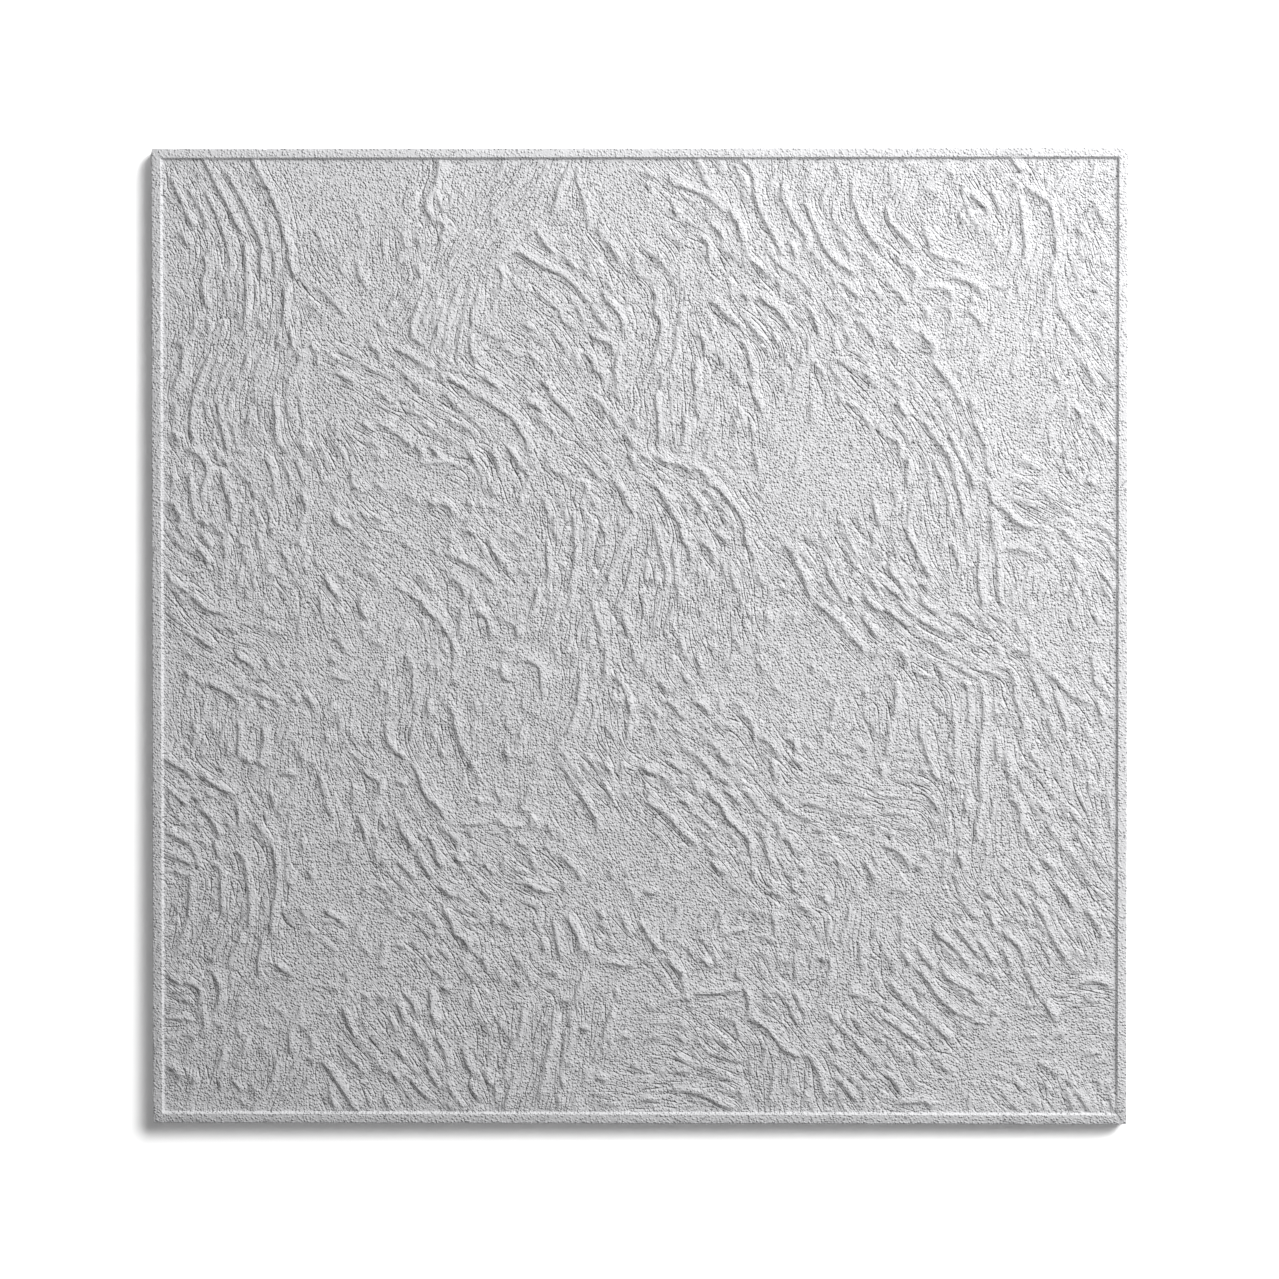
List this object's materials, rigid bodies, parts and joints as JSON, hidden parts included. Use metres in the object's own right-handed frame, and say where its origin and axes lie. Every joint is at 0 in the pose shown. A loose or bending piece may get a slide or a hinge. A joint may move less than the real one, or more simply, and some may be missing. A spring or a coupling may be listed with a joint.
{
  "type": "ceiling tile",
  "caption": "Square white foam ceiling tile with a flat glue-on back, a narrow raised rim and a sunk field covered in brushed-plaster relief.",
  "frame": {"origin": "centre of the flat back, which lies on the floor or is glued to the ceiling", "axes": "+Z out of the patterned face; X and Y along the two pairs of sides, with +Y towards the top of the picture"},
  "size_m": [0.5, 0.5, 0.01],
  "materials": {
    "white_foam": "matt white expanded polystyrene with fine fused beads"
  },
  "bodies": {
    "root": {"ceiling_tile": "white_foam"}
  },
  "joints": []
}
